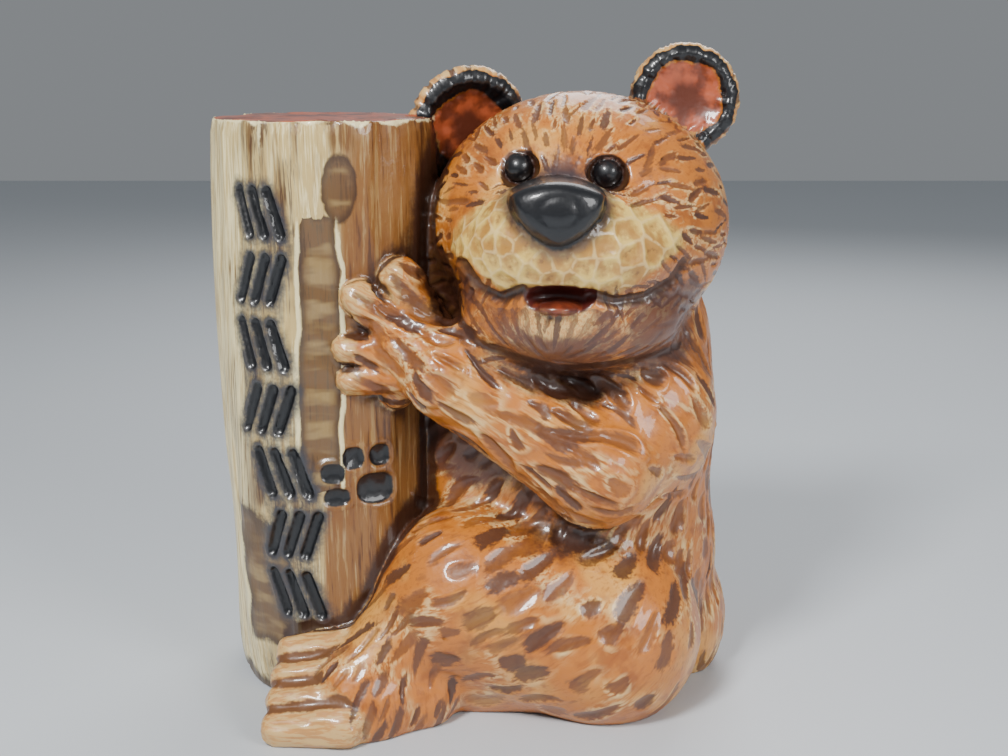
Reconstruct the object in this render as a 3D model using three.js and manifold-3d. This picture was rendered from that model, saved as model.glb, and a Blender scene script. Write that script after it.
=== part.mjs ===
// A ceramic figurine cast in one piece: a carved-wood style bear that sits on its haunches,
// hugs an upright log and turns its head to the viewer.
// Millimetres, +Z up. The bear faces the log, towards -X, and the viewer stands at -Y.
// The bear's mid-plane is Y = 0 and the log's axis lies in it.

import * as THREE from 'three';
import { mergeVertices } from 'three/addons/utils/BufferGeometryUtils.js';
import Module from 'manifold-3d';

const wasm = await Module();
wasm.setup();

// Driving dimensions.
const bearHeight = 331; // table to the top of the higher ear
const logHeight = 295;
const logDiameter = 113;
const logFootTaper = 6; // how far the log's outer side pulls in at the table
const logWave = 1.6; // how far the hewn sides swell in and out
const grooveDepth = 0.8; // bark grooves
const bandDepth = 2.5; // the long planed hollow down the front
const markRows = 7; // rows of slanted cuts down the front of the log
const markLength = 19;
const markWidth = 6.5;
const markDepth = 3.2;
const pawPrintDepth = 2;
const furDepth = 4.2; // gouges in the fur

// Every place and radius of the bear below is a share of its height, in 331 parts, so that the
// pose and the proportions follow bearHeight. X = 0 lies under the bear's left eye.
const k = bearHeight / 331;
const place = (x, y, z) => new THREE.Vector3(x * k, y * k, z * k);

// The log stands where the bear's arms close round it.
const hugX = -33.5 * k; // the log's side that touches the belly
const logRadius = logDiameter / 2;
const logX = hugX - logRadius;
const logFront = -logRadius;

// A point at an angle round the log, measured from its front towards the bear, raised outwards.
function onLog(degrees, height, out) {
  const angle = THREE.MathUtils.degToRad(degrees);
  const reach = logRadius + out;
  return new THREE.Vector3(logX + reach * Math.sin(angle), -reach * Math.cos(angle), height);
}

const farSide = (point) => new THREE.Vector3(point.x, -point.y, point.z);

// Closed solids from three.js geometries.
function solid(geometry) {
  const bare = geometry.index ? geometry.toNonIndexed() : geometry.clone();
  bare.deleteAttribute('normal');
  bare.deleteAttribute('uv');
  const merged = mergeVertices(bare, 1e-4);
  return new wasm.Manifold(new wasm.Mesh({
    numProp: 3,
    vertProperties: new Float32Array(merged.attributes.position.array),
    triVerts: new Uint32Array(merged.index.array),
  }));
}

function ball(centre, radii, detail) {
  const geometry = new THREE.IcosahedronGeometry(1, detail);
  geometry.scale(radii[0] * k, radii[1] * k, radii[2] * k);
  geometry.translate(centre.x, centre.y, centre.z);
  return solid(geometry);
}

// A limb is a round-ended tube along a curve, with its own radius at each point of the curve.
// It can be made narrower across the bear than along it.
function limb(points, radii, { sides = 10, steps = 8, capSteps = 3, narrow = 1 } = {}) {
  const profile = [];
  for (let i = 0; i <= capSteps; i++) {
    const angle = (i / capSteps) * Math.PI / 2;
    profile.push(new THREE.Vector2(i ? Math.sin(angle) : 0, -Math.cos(angle)));
  }
  for (let i = 1; i < steps; i++) {
    profile.push(new THREE.Vector2(1, i / steps));
  }
  for (let i = 0; i <= capSteps; i++) {
    const angle = (i / capSteps) * Math.PI / 2;
    profile.push(new THREE.Vector2(i < capSteps ? Math.cos(angle) : 0, 1 + Math.sin(angle)));
  }
  const geometry = new THREE.LatheGeometry(profile, sides);
  const curve = new THREE.CatmullRomCurve3(points, false, 'centripetal');
  const at = geometry.attributes.position;
  for (let i = 0; i < at.count; i++) {
    const height = at.getY(i);
    const along = THREE.MathUtils.clamp(height, 0, 1);
    const { tangent, side, up } = directions(curve, along);
    const radius = radiusAt(radii, along) * k;
    const point = curve.getPointAt(along)
      .addScaledVector(side, at.getZ(i) * radius)
      .addScaledVector(up, at.getX(i) * radius)
      .addScaledVector(tangent, (height - along) * radius);
    at.setXYZ(i, point.x, point.y * narrow, point.z);
  }
  return solid(geometry);
}

// The direction of a curve at a share of its length, with two directions square to it.
function directions(curve, along) {
  const start = curve.getTangentAt(0);
  const tangent = curve.getTangentAt(along);
  const upright = Math.abs(start.z) > 0.9;
  const across = (upright ? place(1, 0, 0) : place(0, 0, 1)).cross(start).normalize();
  const side = across.addScaledVector(tangent, -across.dot(tangent)).normalize();
  return { tangent, side, up: new THREE.Vector3().crossVectors(tangent, side) };
}

function radiusAt(radii, along) {
  const t = along * (radii.length - 1);
  const i = Math.min(Math.floor(t), radii.length - 2);
  return THREE.MathUtils.lerp(radii[i], radii[i + 1], t - i);
}

const join = (solids) => solids.reduce((whole, piece) => whole.add(piece));
const cut = (whole, tools) => tools.reduce((rest, tool) => rest.subtract(tool), whole);

// A shallow cut, centred on a surface point and lying along a direction: a V with pointed ends,
// or a rounded trough.
function gouge(at, normal, along, length, width, depth, rounded = false) {
  const lift = depth * 0.6;
  const geometry = rounded ? new THREE.SphereGeometry(1, 6, 3) : new THREE.OctahedronGeometry(1);
  geometry.scale(width * 0.65, length * 0.65, depth + lift);
  const n = normal.clone().normalize();
  const across = new THREE.Vector3().crossVectors(along, n).normalize();
  const forward = new THREE.Vector3().crossVectors(n, across);
  const turn = new THREE.Matrix4().makeBasis(across, forward, n);
  geometry.applyMatrix4(turn);
  geometry.translate(at.x + n.x * lift, at.y + n.y * lift, at.z + n.z * lift);
  return solid(geometry);
}

const golden = Math.PI * (3 - Math.sqrt(5)); // the turn that spreads points evenly

// Gouges spread evenly over an egg-shaped form, each lying along the fur.
function furOn(centre, radii, count, length, width, flow, keep = () => true) {
  const cuts = [];
  for (let i = 0; i < count; i++) {
    const up = 1 - (2 * (i + 0.5)) / count;
    const flat = Math.sqrt(1 - up * up);
    const unit = new THREE.Vector3(flat * Math.cos(golden * i), flat * Math.sin(golden * i), up);
    const at = new THREE.Vector3(unit.x * radii[0], unit.y * radii[1], unit.z * radii[2])
      .multiplyScalar(k).add(centre);
    const normal = new THREE.Vector3(unit.x / radii[0], unit.y / radii[1], unit.z / radii[2]);
    if (keep(at)) {
      cuts.push(gouge(at, normal, flow(at), length * k, width * k, furDepth));
    }
  }
  return cuts;
}

// Gouges spread evenly over a limb and its round ends.
function furAlong(points, radii, count, length, width, flow, keep, narrow = 1) {
  const curve = new THREE.CatmullRomCurve3(points, false, 'centripetal');
  const whole = curve.getLength();
  const poleTip = 0.95; // no gouge sits on the very tip of an end
  const cuts = [];
  for (let i = 0; i < count; i++) {
    const reach = THREE.MathUtils.lerp(-radii[0] * k, whole + radii.at(-1) * k, (i + 0.5) / count);
    const along = THREE.MathUtils.clamp(reach / whole, 0, 1);
    const radius = radiusAt(radii, along) * k;
    const tip = (reach - along * whole) / radius;
    const { tangent, side, up } = directions(curve, along);
    const out = side.multiplyScalar(Math.cos(golden * i)).addScaledVector(up, Math.sin(golden * i))
      .multiplyScalar(Math.sqrt(1 - tip ** 2)).addScaledVector(tangent, tip);
    const at = curve.getPointAt(along).addScaledVector(out, radius);
    at.y *= narrow;
    if (Math.abs(tip) < poleTip && keep(at)) {
      cuts.push(gouge(at, out, flow(at, tangent), length * k, width * k, furDepth));
    }
  }
  return cuts;
}

// The fur of the body sweeps in arcs round the hugged log's middle.
const furCentre = place(-60, 0, 160);
const bodyFlow = (p) => new THREE.Vector3(furCentre.z - p.z, 0, p.x - furCentre.x);

// The log: a round trunk with bark grooves, long planed bands and a pulled-in foot.
function log() {
  const around = 36;
  const levels = 6;
  const sunk = 5;
  const profile = [new THREE.Vector2(0, -sunk)];
  for (let i = 0; i <= levels; i++) {
    profile.push(new THREE.Vector2(logRadius, -sunk + (i / levels) * (logHeight + sunk)));
  }
  profile.push(new THREE.Vector2(0, logHeight));
  const geometry = new THREE.LatheGeometry(profile, around);
  geometry.rotateX(Math.PI / 2);
  const at = geometry.attributes.position;
  for (let i = 0; i < at.count; i++) {
    const reach = Math.hypot(at.getX(i), at.getY(i));
    if (reach < 1) {
      continue;
    }
    const angle = Math.atan2(at.getX(i), -at.getY(i));
    const height = at.getZ(i) / logHeight;
    const hewn = logWave * Math.sin(2 * angle + 6.5 * height) + 0.45 * logWave * Math.sin(5 * angle - 5 * height);
    const grooves = grooveDepth * (Math.sin(12 * angle + 1.3 * Math.sin(5 * height)) - 0.4);
    const planed = bandDepth * Math.exp(-(((angle - 0.18) / 0.13) ** 2)) * bump(height, 0.42, 0.84);
    const foot = logFootTaper * Math.exp(-height * 21) * Math.max(0, -Math.sin(angle));
    const radius = reach + hewn + grooves - planed - foot;
    at.setX(i, radius * Math.sin(angle));
    at.setY(i, -radius * Math.cos(angle));
  }
  geometry.translate(logX, 0, 0);
  return cut(solid(geometry), [...markCuts(), ...pawPrintCuts()]);
}

// 1 between two heights, falling softly to 0 past them.
function bump(value, low, high) {
  const soft = 0.04;
  return THREE.MathUtils.smoothstep(value, low - soft, low) *
    (1 - THREE.MathUtils.smoothstep(value, high, high + soft));
}

// Rows of three slanted cuts, leaning left and right by turns.
function markCuts() {
  const cuts = [];
  const topRow = logHeight * 0.85;
  const bottomRow = logHeight * 0.2;
  for (let row = 0; row < markRows; row++) {
    const t = row / (markRows - 1);
    const height = THREE.MathUtils.lerp(topRow, bottomRow, t);
    const drift = THREE.MathUtils.lerp(-30, -15, THREE.MathUtils.smoothstep(t, 0.35, 0.85));
    const lean = row % 2 ? 1 : -1;
    for (let stroke = -1; stroke <= 1; stroke++) {
      const degrees = drift + stroke * 9.5;
      const at = onLog(degrees, height, 0);
      const normal = onLog(degrees, height, 1).sub(at);
      const side = onLog(degrees + 1, height, 0).sub(at).normalize();
      const along = new THREE.Vector3(0, 0, 1).addScaledVector(side, lean * 0.35);
      cuts.push(gouge(at, normal, along, markLength, markWidth, markDepth));
    }
  }
  return cuts;
}

// A paw print: one pad and four toes round its upper left.
function pawPrintCuts() {
  const height = logHeight * 0.388;
  const prints = [
    { degrees: 27, up: 0, length: 14, width: 17 },
    { degrees: 7, up: -3, length: 8, width: 12 },
    { degrees: 6, up: 9, length: 9, width: 10 },
    { degrees: 17, up: 16, length: 11, width: 9 },
    { degrees: 30, up: 17, length: 9, width: 9 },
  ];
  return prints.map(({ degrees, up, length, width }) => {
    const at = onLog(degrees, height + up, 0);
    const normal = onLog(degrees, height + up, 1).sub(at);
    return gouge(at, normal, new THREE.Vector3(0, 0, 1), length, width, pawPrintDepth, true);
  });
}

// The hidden far limbs are left plainer.
const shown = (p) => p.y < 0;

// Torso, haunches and tail.
function body() {
  const spine = [place(43, 0, 50), place(44, 0, 100), place(46, 0, 140), place(58, 0, 192)];
  const girth = [71, 68, 66, 46];
  const narrow = 0.88;
  const lap = [place(-8, 0, 24), place(-8, 0, 225)]; // closes the gap between belly and log
  const tail = { at: place(98, 0, 26), radii: [23, 32, 38] };
  return [
    cut(limb(spine, girth, { sides: 16, steps: 6, narrow }),
      furAlong(spine, girth, 58, 30, 12, bodyFlow, () => true, narrow)),
    limb(lap, [40, 38], { sides: 12, steps: 1 }),
    cut(ball(tail.at, tail.radii, 2), furOn(tail.at, tail.radii, 10, 24, 9, bodyFlow)),
  ];
}

function leg(side) {
  const haunch = [side(place(50, -44, 37)), side(place(18, -46, 46)), side(place(-17, -45, 57))];
  const girth = [51, 49, 46];
  const seat = { at: side(place(-14, -33, 14)), radii: [56, 38, 29] };
  const knee = side(place(-42, -56, 44));
  const ankle = side(new THREE.Vector3(logX + 16 * k, logFront - 18.5 * k, 20 * k));
  const heel = side(new THREE.Vector3(logX + 21 * k, logFront - 20.5 * k, 12 * k));
  const sole = side(place(-42, -68, 12));
  const toes = [];
  for (let i = 0; i < 4; i++) {
    const down = i / 3;
    const out = 7.5 + 33 * down;
    const height = 32 - 25 * down;
    const root = side(new THREE.Vector3(logX + 13 * k, logFront - out * k, (height + 2) * k));
    const tip = side(new THREE.Vector3(logX - (16 + 3 * down) * k, logFront - out * k, height * k));
    toes.push(limb([root, tip], [10, 7.5], { sides: 6, steps: 1, capSteps: 2 }));
  }
  return [
    cut(limb(haunch, girth, { sides: 16, steps: 5, capSteps: 4 }),
      furAlong(haunch, girth, 60, 27, 11, bodyFlow, shown)),
    ball(seat.at, seat.radii, 2),
    limb([knee, ankle, heel], [28, 19, 22], { sides: 9, steps: 4 }),
    limb([heel, sole], [21, 19], { sides: 9, steps: 1 }),
    ...toes,
  ];
}

function arm(side) {
  const shoulder = side(place(67, -40, 150));
  const elbow = side(place(46, -64, 130));
  const wrist = side(place(-26, -60, 174));
  const palm = side(onLog(42, 190 * k, 8 * k));
  const digits = [
    { root: onLog(50, 195 * k, 11 * k), tip: onLog(40, 218 * k, 7 * k), radii: [12, 10] },
    { root: onLog(38, 194 * k, 9 * k), tip: onLog(19, 211 * k, 1 * k), radii: [10, 7.5] },
    { root: onLog(36, 183 * k, 9 * k), tip: onLog(14, 186 * k, 0), radii: [9, 6.5] },
    { root: onLog(38, 172 * k, 9 * k), tip: onLog(16, 170 * k, 0), radii: [9, 6.5] },
  ];
  const reach = [shoulder, elbow, wrist, palm];
  const girth = [27, 28, 20, 18];
  const digit = { sides: 7, steps: 1, capSteps: 2 };
  return [
    ball(shoulder, [36, 30, 40], 2),
    cut(limb(reach, girth, { sides: 10, steps: 8 }),
      furAlong(reach, girth, 30, 26, 9, (at, tangent) => tangent, shown)),
    limb([side(onLog(46, 178 * k, 10 * k)), side(onLog(40, 163 * k, 3 * k))], [14, 9], digit),
    ...digits.map(({ root, tip, radii }) => limb([side(root), side(tip)], radii, digit)),
  ];
}

// The head, turned to the viewer.
const headAt = place(37.5, -20, 243);
const headRadii = [73.5, 66, 64];
const noseAt = place(22.7, -104, 256);
const mouthAt = place(24, -102, 218);
const eyes = [place(6.8, -71, 276), place(46.5, -77, 274)];

function head() {
  const faceFlow = (p) => new THREE.Vector3().subVectors(p, noseAt);
  const clearOfFace = (p) => p.distanceTo(place(26, -86, 245)) > 52 * k;
  return [
    cut(ball(headAt, headRadii, 3), furOn(headAt, headRadii, 58, 25, 9.5, faceFlow, clearOfFace)),
    ball(place(30, -62, 236), [53, 44, 30], 3),
    ball(place(24, -82, 246), [34, 26, 22], 2),
    ball(place(32, -54, 203), [52, 40, 27], 2),
    ball(place(28, -74, 206), [31, 24, 17], 2),
  ];
}

// An ear is a thick round cup with a raised rim.
function ear(at, facing, radius) {
  const cup = [[0, -0.3], [0.5, -0.27], [0.85, -0.12], [1, 0.1], [0.96, 0.27], [0.84, 0.3],
    [0.72, 0.18], [0.5, 0], [0, -0.08]];
  const profile = cup.map(([r, h]) => new THREE.Vector2(r * radius * k, h * radius * k));
  const geometry = new THREE.LatheGeometry(profile, 14);
  geometry.applyQuaternion(new THREE.Quaternion().setFromUnitVectors(
    new THREE.Vector3(0, 1, 0), facing.normalize()));
  geometry.translate(at.x, at.y, at.z);
  return solid(geometry);
}

// The nose is a wide rounded triangle, blunt above and pointed below.
function nose() {
  const geometry = new THREE.IcosahedronGeometry(1, 2);
  const at = geometry.attributes.position;
  for (let i = 0; i < at.count; i++) {
    const narrowing = 1 - 0.6 * THREE.MathUtils.smoothstep(-at.getZ(i), -0.2, 1);
    at.setX(i, at.getX(i) * narrowing);
  }
  geometry.scale(20.7 * k, 12 * k, 13.5 * k);
  geometry.rotateX(THREE.MathUtils.degToRad(-12));
  geometry.translate(noseAt.x, noseAt.y, noseAt.z);
  return solid(geometry);
}

function figurine() {
  const near = (point) => point.clone();
  const farTuck = 8 * k;
  const farLeg = (point) => farSide(point).sub(new THREE.Vector3(0, farTuck, 0));
  const masses = join([
    log(), ...body(), ...leg(near), ...leg(farLeg), ...arm(near), ...arm(farSide), ...head(),
    ear(place(89.5, -8, 303), new THREE.Vector3(-0.05, -1, 0.05), 27.5),
    ear(place(-18, 3, 289), new THREE.Vector3(0.28, -0.93, -0.2), 31),
  ]);
  const sockets = eyes.map((eye) => ball(eye, [10, 10, 10], 1));
  const mouth = ball(mouthAt, [16.5, 16, 6.5], 2);
  const features = [
    ...eyes.map((eye) => ball(eye.clone().add(place(0, 7.5, 0)), [7.2, 7.2, 7.2], 1)),
    nose(),
    ball(mouthAt.clone().add(place(0, 6, -5)), [12, 14, 4], 1),
  ];
  const floor = new THREE.BoxGeometry(4 * bearHeight, 4 * bearHeight, bearHeight);
  floor.translate(0, 0, -bearHeight / 2);
  return join([cut(masses, [...sockets, mouth]), ...features]).subtract(solid(floor));
}

// The finished solid as a mesh, moved so that the centre of its underside's box is the origin.
function standing(whole) {
  const mesh = whole.getMesh();
  const geometry = new THREE.BufferGeometry();
  geometry.setAttribute('position', new THREE.BufferAttribute(mesh.vertProperties, 3));
  geometry.setIndex(new THREE.BufferAttribute(mesh.triVerts, 1));
  geometry.computeBoundingBox();
  const { min, max } = geometry.boundingBox;
  geometry.translate(-(min.x + max.x) / 2, -(min.y + max.y) / 2, -min.z);
  geometry.computeVertexNormals();
  return geometry;
}

const glazedFur = new THREE.MeshStandardMaterial({ color: 0xb87b3e, roughness: 0.3, metalness: 0 });
glazedFur.flatShading = true;

const bear = new THREE.Mesh(standing(figurine()), glazedFur);
bear.name = 'bear_figurine';

const group = new THREE.Group();
group.add(bear);

export default group;
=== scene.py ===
import math

import bpy
import numpy as np
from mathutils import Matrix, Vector, kdtree


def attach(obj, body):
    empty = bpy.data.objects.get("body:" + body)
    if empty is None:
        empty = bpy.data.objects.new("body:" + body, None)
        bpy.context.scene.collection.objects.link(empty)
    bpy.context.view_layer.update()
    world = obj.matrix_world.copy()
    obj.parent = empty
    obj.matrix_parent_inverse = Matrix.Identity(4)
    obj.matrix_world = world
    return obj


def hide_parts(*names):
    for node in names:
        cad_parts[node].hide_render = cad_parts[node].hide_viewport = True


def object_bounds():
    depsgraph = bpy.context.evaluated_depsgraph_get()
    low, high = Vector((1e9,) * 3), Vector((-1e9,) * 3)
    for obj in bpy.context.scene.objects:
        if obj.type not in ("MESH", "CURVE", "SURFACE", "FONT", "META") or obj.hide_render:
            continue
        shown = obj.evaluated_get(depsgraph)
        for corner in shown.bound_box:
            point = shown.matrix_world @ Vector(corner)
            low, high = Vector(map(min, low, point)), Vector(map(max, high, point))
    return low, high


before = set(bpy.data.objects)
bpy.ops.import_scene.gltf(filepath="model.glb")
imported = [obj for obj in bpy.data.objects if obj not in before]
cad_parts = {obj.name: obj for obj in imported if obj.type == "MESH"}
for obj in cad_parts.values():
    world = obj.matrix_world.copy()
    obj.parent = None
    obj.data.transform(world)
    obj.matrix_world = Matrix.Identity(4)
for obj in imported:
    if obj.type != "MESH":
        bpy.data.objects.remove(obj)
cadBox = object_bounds()
print("frame loaded", [round(v, 4) for v in (*cadBox[0], *cadBox[1])])

# Places and sizes of the sculpt are millimetres of a drawing in which the bear is 331 high.
# Z = 0 is the table, Y = 0 the bear's mid-plane and the log's axis, and the viewer stands at -Y.
clay = {
    "voxel": 1.3,
    "low": (-154.0, -124.0, 0.0),
    "high": (132.0, 116.0, 340.0),
    "far": 40.0,
    "pressReach": 14.0,
    "carveReach": 4.0,
    "triangles": 196000,
}


# A block of clay: a grid of distances to the surface, negative inside.
class Clay:
    def __init__(self, low, high, voxel, far):
        self.voxel = voxel
        self.low = np.array(low, np.float32)
        self.low[2] -= voxel / 2  # the table cuts the lowest cells in half
        counts = np.ceil((np.array(high) - self.low) / voxel).astype(int) + 1
        self.axes = [self.low[a] + voxel * np.arange(counts[a], dtype=np.float32) for a in range(3)]
        self.field = np.full(counts, far, np.float32)

    def window(self, low, high):
        cut = []
        for a in range(3):
            i = max(0, int((low[a] - self.low[a]) / self.voxel))
            j = min(len(self.axes[a]), int((high[a] - self.low[a]) / self.voxel) + 2)
            cut.append(slice(i, j))
        x = self.axes[0][cut[0]][:, None, None]
        y = self.axes[1][cut[1]][None, :, None]
        z = self.axes[2][cut[2]][None, None, :]
        return tuple(cut), (x, y, z)

    # Adds clay, with a fillet of about this radius.
    def press(self, shape, fillet):
        self.work(shape, fillet, clay["pressReach"], 1)

    # Takes clay away in the same manner.
    def carve(self, shape, fillet):
        self.work(shape, fillet, clay["carveReach"], -1)

    def work(self, shape, fillet, reach, sign):
        low, high, distance = shape
        reach = reach + fillet
        cut, p = self.window(np.array(low) - reach, np.array(high) + reach)
        self.field[cut] = sign * smoothMin(sign * self.field[cut], distance(*p), fillet)

    def sample(self, points, field=None):
        field = self.field if field is None else field
        g = (points - self.low) / self.voxel
        i = np.clip(np.floor(g).astype(np.int32), 0, np.array(field.shape) - 2)
        x, y, z = i.T
        f = np.clip(g - i, 0, 1).astype(np.float32)
        return blended(f, lambda dx, dy, dz: field[x + dx, y + dy, z + dz])

    def normals(self, points):
        n = np.empty_like(points)
        for a in range(3):
            step = np.zeros(3, np.float32)
            step[a] = self.voxel
            n[:, a] = self.sample(points + step) - self.sample(points - step)
        return unit(n)


# Blends the values at a cell's eight corners by the place in the cell.
def blended(f, corner):
    total = 0
    for dx in (0, 1):
        wx = f[:, 0] if dx else 1 - f[:, 0]
        for dy in (0, 1):
            wy = f[:, 1] if dy else 1 - f[:, 1]
            for dz in (0, 1):
                wz = f[:, 2] if dz else 1 - f[:, 2]
                total = total + corner(dx, dy, dz) * wx * wy * wz
    return total


def unit(vectors):
    return vectors / np.maximum(np.linalg.norm(vectors, axis=-1, keepdims=True), 1e-6)


def smoothMin(a, b, fillet):
    if fillet <= 0:
        return np.minimum(a, b)
    h = np.maximum(fillet - np.abs(a - b), 0) / fillet
    return np.minimum(a, b) - h * h * fillet * 0.25


def smoothStep(value, low, high):
    t = np.clip((value - low) / (high - low), 0, 1)
    return t * t * (3 - 2 * t)


# An egg-shaped form, with its Y axis turned towards a direction where one is given.
def egg(centre, radii, facing=(0, 1, 0)):
    c, r = np.array(centre, float), np.array(radii, float)
    out = unit(np.array(facing, float))
    side = unit(np.cross(out, (0, 0, 1)))
    axes = np.array([side, out, np.cross(side, out)])
    reach = np.sqrt(((axes.T * r) ** 2).sum(1))

    def distance(x, y, z):
        dx, dy, dz = x - c[0], y - c[1], z - c[2]
        q = [(row[0] * dx + row[1] * dy + row[2] * dz) for row in axes]
        k0 = np.sqrt(sum((q[a] / r[a]) ** 2 for a in range(3)))
        k1 = np.sqrt(sum((q[a] / r[a] ** 2) ** 2 for a in range(3)))
        return k0 * (k0 - 1) / np.maximum(k1, 1e-6)

    return c - reach, c + reach, distance


# A round-ended limb between two points, with a radius at each.
def limb(a, ra, b, rb):
    a, b = np.array(a, float), np.array(b, float)
    ab = b - a

    def distance(x, y, z):
        h = ((x - a[0]) * ab[0] + (y - a[1]) * ab[1] + (z - a[2]) * ab[2]) / float(ab @ ab)
        h = np.clip(h, 0, 1)
        d = (x - a[0] - h * ab[0]) ** 2 + (y - a[1] - h * ab[1]) ** 2 + (z - a[2] - h * ab[2]) ** 2
        return np.sqrt(d) - (ra + h * (rb - ra))

    r = max(ra, rb)
    return np.minimum(a, b) - r, np.maximum(a, b) + r, distance


def distanceTo(shape, points):
    return shape[2](*points.T)


def nearest(shapes, points):
    return np.min([distanceTo(shape, points) for shape in shapes], axis=0)


def treeOf(points):
    tree = kdtree.KDTree(len(points))
    for i, point in enumerate(points.tolist()):
        tree.insert(point, i)
    tree.balance()
    return tree


# Smooth noise from -1 to 1 on a seeded lattice that repeats after this many cells.
class Noise:
    cells = 32

    def __init__(self, seed):
        rng = np.random.default_rng(seed)
        self.table = rng.uniform(-1, 1, (self.cells,) * 3).astype(np.float32)

    def __call__(self, points, size):
        g = points / np.array(size, np.float32)
        i = np.floor(g).astype(np.int32)
        x, y, z = i.T
        f = (g - i).astype(np.float32)
        f = f * f * (3 - 2 * f)
        n = self.cells
        return blended(f, lambda dx, dy, dz: self.table[(x + dx) % n, (y + dy) % n, (z + dz) % n])


# The log: its axis stands at x, and angles run from its front towards the bear.
trunk = {
    "x": -90.0,
    "radius": 56.5,
    "top": 295.0,
    "footTaper": 6.0,
    "wave": 1.6,
    "rimRound": 2.5,
}


def onTrunk(degrees, height, out=0.0):
    a = math.radians(degrees)
    r = trunk["radius"] + out
    return (trunk["x"] + r * math.sin(a), -r * math.cos(a), height)


def trunkRadius(angle, z):
    lean = np.maximum(0, -np.sin(angle))
    wave = trunk["wave"] * (np.sin(2 * angle + z / 45) + 0.45 * np.sin(5 * angle - z / 60))
    return trunk["radius"] + wave - trunk["footTaper"] * lean * np.exp(-z / 14)


def trunkShape():
    r = trunk["radius"] + 5

    def distance(x, y, z):
        dx = x - trunk["x"]
        side = np.sqrt(dx ** 2 + y ** 2) - trunkRadius(np.arctan2(dx, -y), z)
        top = z - trunk["top"]
        return -smoothMin(-side, -top, trunk["rimRound"])

    return (trunk["x"] - r, -r, -20), (trunk["x"] + r, r, trunk["top"]), distance


def mirrored(point):
    return (point[0], -point[1], point[2])


# Points are given for the near side, and mirrored for the far one.
sides = (tuple, mirrored)
farTuck = 8  # the far leg sits this much closer to the mid-plane

# The body's eggs as centre and radii. The lap is a column behind the log, given as two ends
# with a radius at each, and the shoulder has radii only.
body = {
    "belly": ((45, 0, 140), (67, 58, 66)),
    "hips": ((42, 0, 66), (72, 64, 78)),
    "chest": ((58, -2, 190), (46, 46, 40)),
    "lap": ((-8, 0, 24), 40, (-8, 0, 225), 38),
    "tail": ((98, 0, 26), (23, 32, 38)),
    "seat": ((-14, -36, 16), (56, 35, 30)),
    "shoulder": (36, 30, 40),
}

limbs = {
    "shoulder": (67, -40, 150),
    "elbow": (46, -64, 130),
    "wrist": (-26, -60, 174),
    "palm": onTrunk(42, 190, 6.5),
    "hip": (50, -44, 37),
    "knee": (-17, -45, 57),
    "shin": (-42, -56, 44),
    "ankle": (-74, -75, 20),
    "heel": (-69, -77, 12),
    "sole": (-42, -68, 12),
}

# The radius of the limbs at each of those points.
girth = {
    "shoulder": 33,
    "elbow": 28,
    "wrist": 20,
    "palm": 18,
    "hip": 51,
    "knee": 46,
    "shin": 28,
    "ankle": 19,
    "heel": 22,
    "sole": 19,
}

# Four toes step outwards and down, starting with the inner one.
toeForm = {
    "count": 4,
    "root": -77,
    "tip": -106,
    "tipStep": 3,
    "out": 64,
    "outStep": 31,
    "height": 32,
    "heightStep": 25,
    "rootRadius": 11.5,
    "tipRadius": 8.8,
}

# Each digit runs over the log from a root to a tip: angle, height, lift and radius.
digits = (
    ((50, 195, 10, 13), (41, 218, 5, 11.5)),
    ((39, 193, 8, 10.5), (21, 211, 0, 8.5)),
    ((36, 183, 8, 9), (14, 186, -1, 6.5)),
    ((38, 172, 8, 9), (16, 170, -1, 6.5)),
    ((46, 178, 9, 14), (40, 163, 2, 9)),
)

face = {
    "head": ((37.5, -20, 243), (73.5, 66, 64)),
    "muzzle": ((30, -62, 236), (53, 44, 30)),
    "snout": ((24, -82, 246), (34, 26, 22)),
    "ruff": ((32, -54, 203), (52, 40, 27)),
    "chin": ((28, -74, 206), (31, 24, 17)),
    "mouth": ((24, -102, 218), (16.5, 16, 6.5)),
    "tongue": ((24, -91, 213.5), (11, 12, 3.2)),
    "eyes": ((6.8, -71, 273.5), (47, -77, 271.5)),
    "eyeRadius": 6.5,
    "eyeSunk": 7.5,
    "socket": (9.5, 10, 9.5),
    "lips": ((-18, 0, 24, 48, 80), (234, 219, 223, 217, 238)),
}

ears = (
    {"at": (89.5, -8, 303), "facing": (-0.05, -1, 0.05), "radius": 27.5, "redLess": 0},
    {"at": (-18, 3, 289), "facing": (0.28, -0.93, -0.2), "radius": 31.0, "redLess": 0.07},
)
earForm = {"thick": 10, "cupWide": 0.76, "cupDeep": 9, "cupAhead": 8, "red": 0.66, "rim": 0.95}

# The nose seen from the front: wide corners, a curved top and a blunt tip.
nose = {
    "middle": 23.3,
    "half": 23.0,
    "corner": 260.0,
    "top": 271.0,
    "tip": 240.0,
    "round": 6.0,
    "curve": 1.6,
    "arch": 7.0,
    "dome": ((23.3, -94, 257.5), (32, 22, 24)),
    "bevel": 5.0,
}


# The nose's lower edge at a distance from its middle, with the length of a step along it.
def noseEdge(out):
    share = np.clip(out / nose["half"], 0, 1.2)
    rise = nose["corner"] - nose["tip"]
    slope = nose["curve"] * rise / nose["half"] * share ** (nose["curve"] - 1)
    return nose["tip"] + rise * share ** nose["curve"], np.hypot(1, slope)


def noseShape():
    front = egg(*nose["dome"])

    def distance(x, y, z):
        out = np.abs(x - nose["middle"])
        crown = nose["top"] - nose["arch"] * (out / nose["half"]) ** 2
        edge, steep = noseEdge(out)
        below = (edge - z) / steep
        above = (z - crown) * 0.9
        outline = -smoothMin(-below, -above, nose["round"])
        outline = -smoothMin(-outline, nose["half"] - out, nose["round"])
        return -smoothMin(-outline, -front[2](x, y, z), nose["bevel"])

    middle, half = nose["middle"], nose["half"]
    return (middle - half, -118, nose["tip"]), (middle + half, -76, nose["top"]), distance


def bone(at, start, end):
    return limb(at[start], girth[start], at[end], girth[end])


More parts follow.
